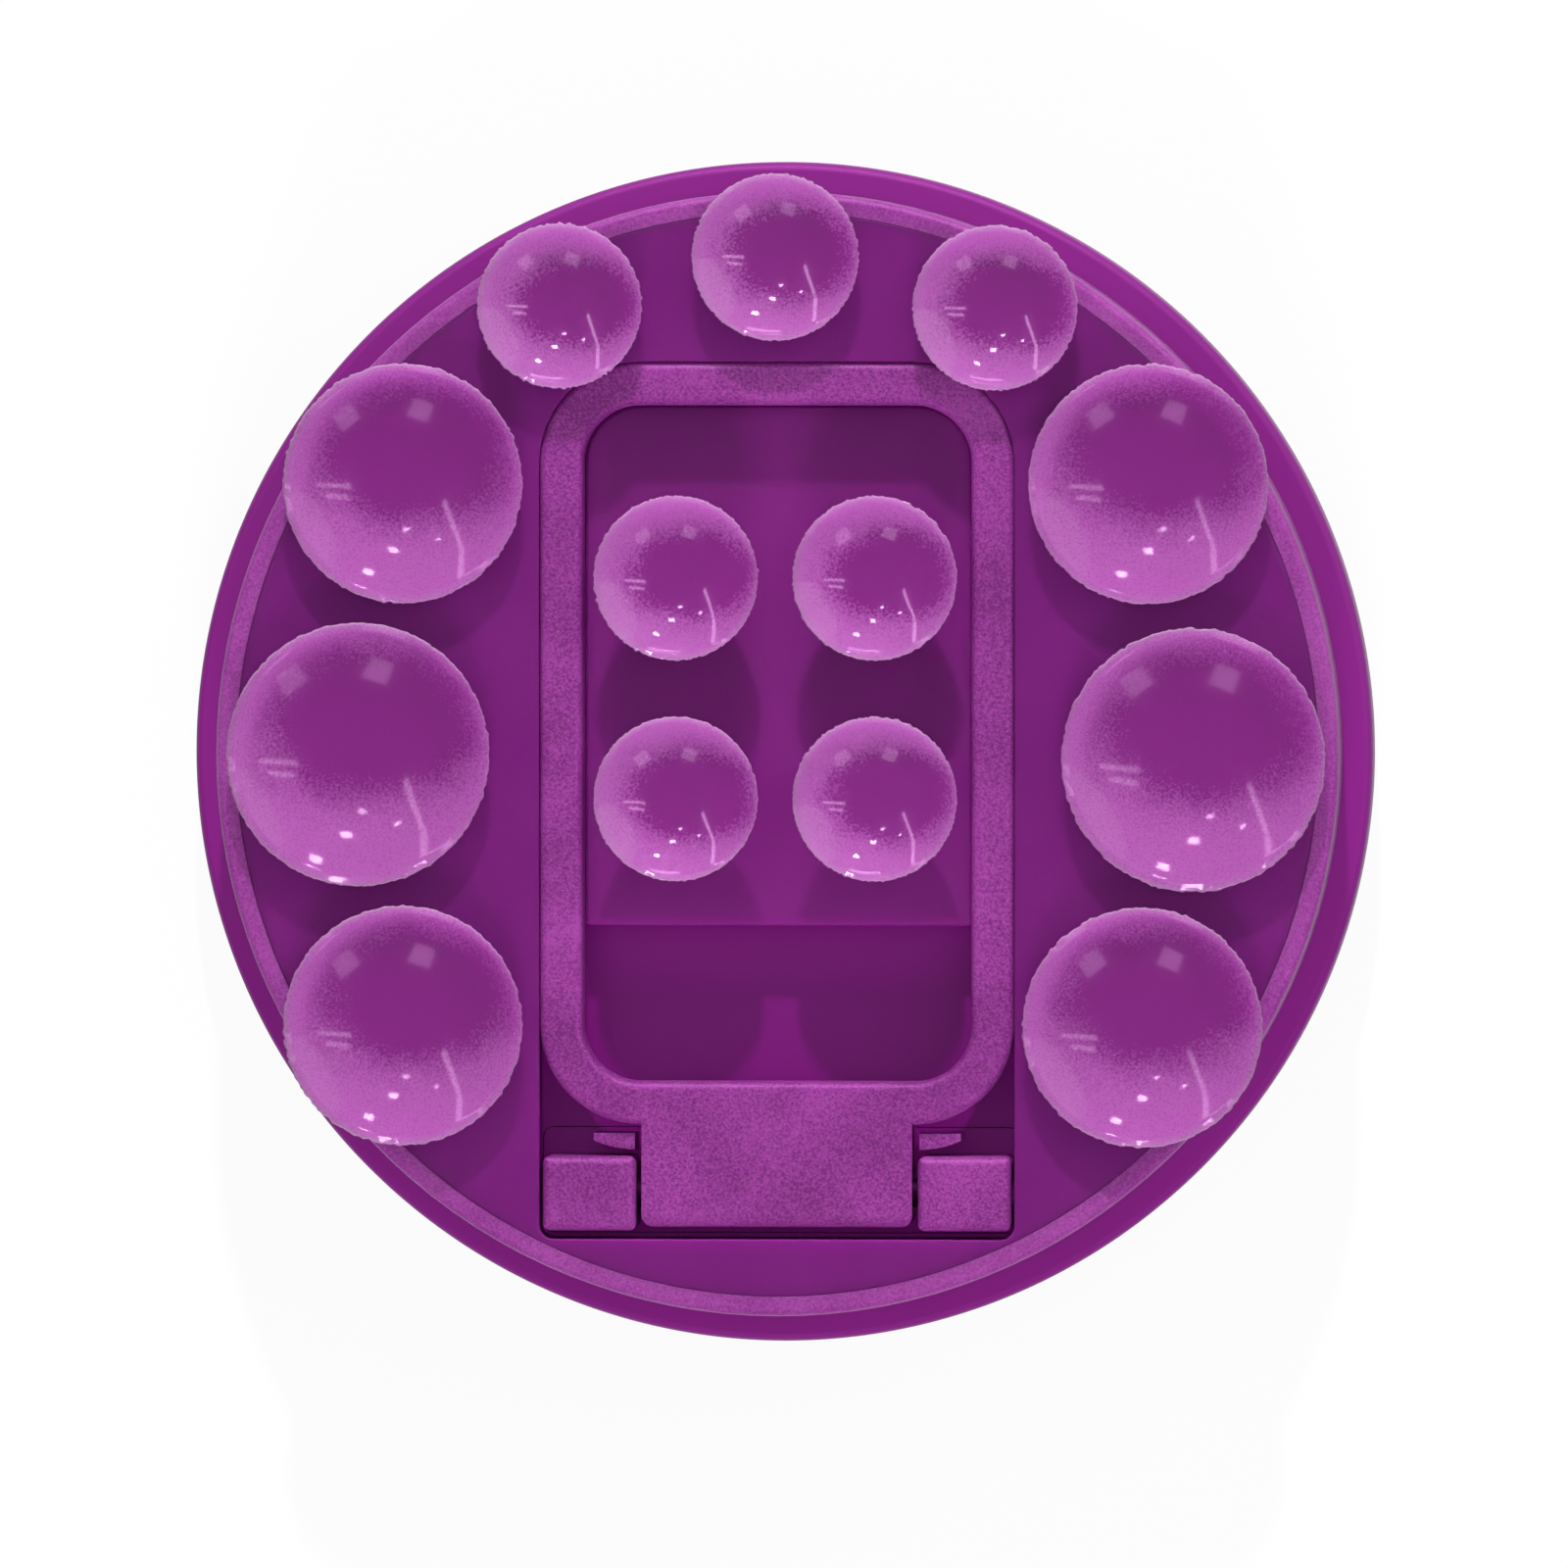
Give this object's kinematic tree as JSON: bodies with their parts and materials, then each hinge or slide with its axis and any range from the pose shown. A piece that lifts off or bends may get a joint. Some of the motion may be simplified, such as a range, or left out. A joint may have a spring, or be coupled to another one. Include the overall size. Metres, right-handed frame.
{
  "type": "suction cup phone holder",
  "caption": "Round two-disc phone holder: a magnetic disc that swivels under a disc of suction cups, with a frame-shaped stand that folds out of its pocket.",
  "frame": {"origin": "on the magnet face's plane, at the centre of the discs and on the swivel axis", "axes": "+Z out of the suction cups' side along the swivel axis; +Y towards the stand's free end when it is folded; +X along the stand's hinge, to the right as the cups are seen with +Y up"},
  "size_m": [0.066, 0.066, 0.0114],
  "materials": {
    "face_pad": "soft matte silicone",
    "disc_plastic": "smooth satin moulded plastic",
    "steel": "plain stamped steel",
    "magnet_nickel": "nickel plated sintered magnet",
    "acetal": "bare acetal",
    "grained_plastic": "fine spark-eroded grain",
    "silicone": "glossy translucent moulded silicone"
  },
  "bodies": {
    "magnet_disc": {"face_pad": "face_pad", "magnet_housing": "disc_plastic", "shunt_ring": "steel", "magnet_1": "magnet_nickel", "magnet_2": "magnet_nickel", "magnet_3": "magnet_nickel", "magnet_4": "magnet_nickel", "magnet_5": "magnet_nickel", "magnet_6": "magnet_nickel", "magnet_7": "magnet_nickel", "magnet_8": "magnet_nickel", "magnet_9": "magnet_nickel", "magnet_10": "magnet_nickel", "magnet_11": "magnet_nickel", "magnet_12": "magnet_nickel", "magnet_13": "magnet_nickel", "magnet_14": "magnet_nickel", "magnet_15": "magnet_nickel", "magnet_16": "magnet_nickel", "glide_ring": "acetal", "wave_washer": "steel", "swivel_retainer": "steel", "swivel_screws": "steel"},
    "suction_disc": {"carrier": "grained_plastic", "rim_pad": "silicone", "centre_pad": "silicone", "hinge_bracket": "grained_plastic", "bracket_screws": "steel", "hinge_pin": "steel"},
    "kickstand": {"stand_frame": "grained_plastic", "friction_sleeve_left": "steel", "friction_sleeve_right": "steel"}
  },
  "joints": [
    {"name": "swivel", "type": "hinge", "parent": "magnet_disc", "child": "suction_disc", "pos_m": [0, 0, 0.0046], "axis": [0, 0, 1], "continuous": true},
    {"name": "stand_hinge", "type": "hinge", "parent": "suction_disc", "child": "kickstand", "pos_m": [0, -0.0245, 0.0081], "axis": [1, 0, 0], "range_deg": [0, 100]}
  ]
}
